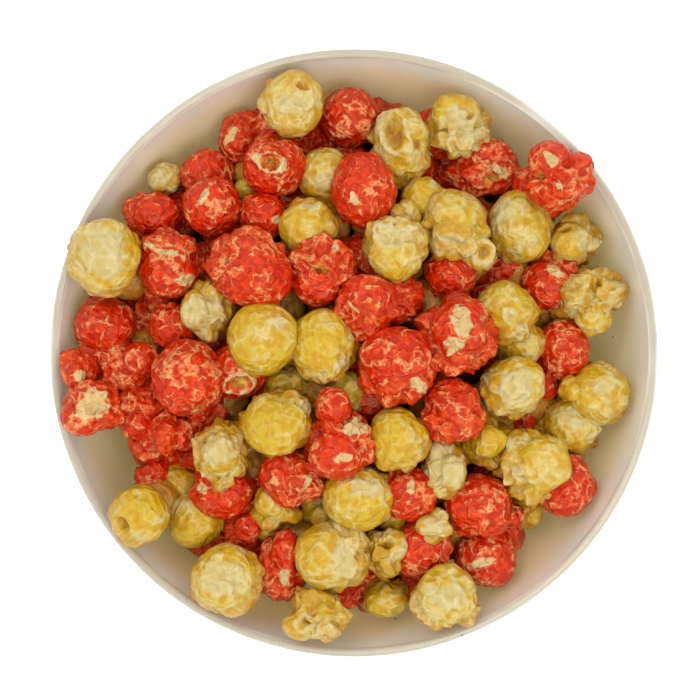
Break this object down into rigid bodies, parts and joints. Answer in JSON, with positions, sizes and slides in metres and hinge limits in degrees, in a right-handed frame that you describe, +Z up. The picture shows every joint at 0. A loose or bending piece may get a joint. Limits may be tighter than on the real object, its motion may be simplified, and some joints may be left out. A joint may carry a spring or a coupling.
{
  "type": "bowl of popcorn",
  "caption": "Round ceramic bowl on a low foot ring, heaped with red and gold candied popcorn.",
  "frame": {"origin": "on the table, under the middle of the bowl's foot ring", "axes": "+Z up, along the bowl's turning axis; +Y towards the top of the view from above, and +X towards its right"},
  "size_m": [0.203, 0.203, 0.099],
  "materials": {
    "glazed_ceramic": "gloss glaze",
    "candied_popcorn": "candy coating, red on some kernels and gold on others"
  },
  "bodies": {
    "root": {"bowl": "glazed_ceramic", "popcorn": "candied_popcorn"}
  },
  "joints": []
}
